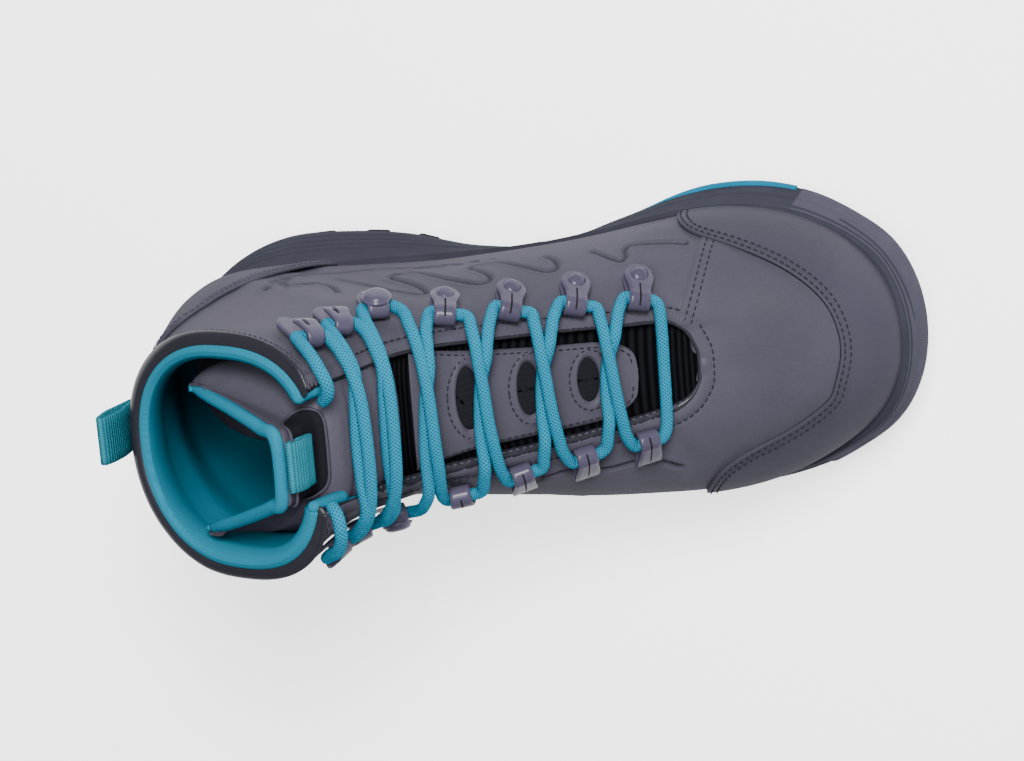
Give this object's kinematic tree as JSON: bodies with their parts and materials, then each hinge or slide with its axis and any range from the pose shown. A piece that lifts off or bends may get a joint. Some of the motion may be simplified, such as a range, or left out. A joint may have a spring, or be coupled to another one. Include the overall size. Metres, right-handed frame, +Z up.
{
  "type": "wading boot",
  "caption": "Ankle-high laced wading boot with a hollow upper, padded collar and tongue, toe cap, heel counter, lugged rubber outsole and webbing pull loops.",
  "frame": {"origin": "middle of the bounding box in plan, on the floor plane under the outsole", "axes": "+X to the toe, +Y to the inner side of this right foot, +Z up"},
  "size_m": [0.2906, 0.1166, 0.1979],
  "materials": {
    "upper_synthetic": "satin",
    "dark_textile": "matte",
    "midsole_foam": "matte",
    "bumper_rubber": "satin",
    "outsole_rubber": "matte",
    "accent_rubber": "satin",
    "webbing": "matte",
    "hardware": "satin",
    "lace": "matte"
  },
  "bodies": {
    "root": {"upper": "upper_synthetic", "toe_cap": "upper_synthetic", "heel_counter": "upper_synthetic", "tongue_cover": "upper_synthetic", "tongue": "dark_textile", "tongue_patch": "dark_textile", "insole": "dark_textile", "midsole": "midsole_foam", "toe_bumper": "bumper_rubber", "outsole": "outsole_rubber", "outsole_spine": "accent_rubber", "side_insert": "accent_rubber", "heel_pull_loop": "webbing", "tongue_pull_loop": "webbing", "lace_loop_medial_1": "hardware", "lace_loop_medial_2": "hardware", "lace_loop_medial_3": "hardware", "lace_loop_medial_4": "hardware", "lace_loop_lateral_1": "hardware", "lace_loop_lateral_2": "hardware", "lace_loop_lateral_3": "hardware", "lace_loop_lateral_4": "hardware", "lace_hook_medial_1": "hardware", "lace_hook_medial_2": "hardware", "lace_hook_medial_3": "hardware", "lace_hook_lateral_1": "hardware", "lace_hook_lateral_2": "hardware", "lace_hook_lateral_3": "hardware", "lace_bar": "lace", "lace_cross_1": "lace", "lace_cross_2": "lace", "lace_cross_3": "lace", "lace_cross_4": "lace", "lace_cross_5": "lace", "lace_cross_6": "lace", "lace_end_medial": "lace", "lace_end_lateral": "lace"}
  },
  "joints": []
}
